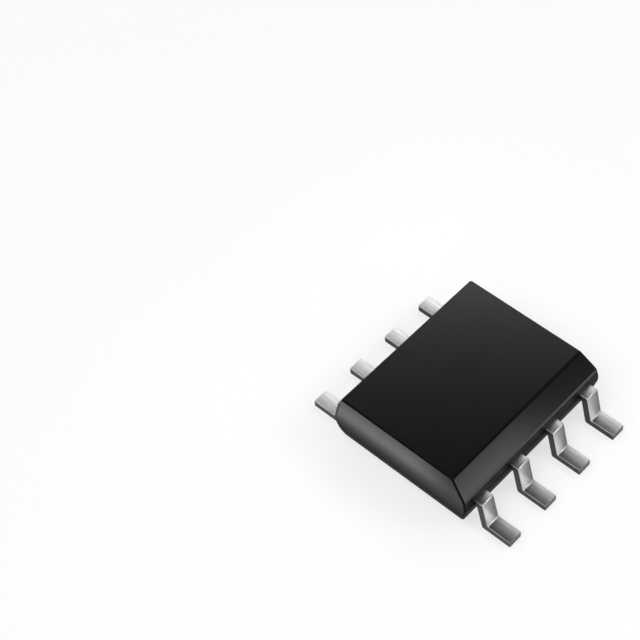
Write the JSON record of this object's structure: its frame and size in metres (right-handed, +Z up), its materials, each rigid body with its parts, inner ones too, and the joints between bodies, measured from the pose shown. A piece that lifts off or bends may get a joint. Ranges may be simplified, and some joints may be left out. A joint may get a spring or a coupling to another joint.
{
  "type": "power management chip",
  "caption": "Small moulded surface-mount chip with a bevelled long edge and gull-wing leads along both long sides.",
  "frame": {"origin": "centre of the plane that the lead feet stand on", "axes": "+Z up from the board; +X across the two rows of leads, towards the bevelled long edge and leads 1 to 4; +Y along the body from lead 1 to lead 4"},
  "size_m": [0.006, 0.005, 0.0016],
  "materials": {
    "mould_compound": "black filled epoxy with a fine mould grain",
    "tin_plated_copper": "matte tin plating over copper",
    "copper_strip": "bare stamped copper",
    "die_adhesive": "cured silver-filled epoxy",
    "silicon": "polished silicon",
    "bond_wire_copper": "drawn copper wire"
  },
  "bodies": {
    "root": {"moulded_body": "mould_compound", "lead_1": "tin_plated_copper", "lead_2": "tin_plated_copper", "lead_3": "tin_plated_copper", "lead_4": "tin_plated_copper", "lead_5": "tin_plated_copper", "lead_6": "tin_plated_copper", "lead_7": "tin_plated_copper", "lead_8": "tin_plated_copper", "die_paddle": "copper_strip", "die_attach": "die_adhesive", "silicon_die": "silicon", "bond_wire_1": "bond_wire_copper", "bond_wire_2": "bond_wire_copper", "bond_wire_3": "bond_wire_copper", "bond_wire_4": "bond_wire_copper", "bond_wire_5": "bond_wire_copper", "bond_wire_6": "bond_wire_copper", "bond_wire_7": "bond_wire_copper", "bond_wire_8": "bond_wire_copper"}
  },
  "joints": []
}
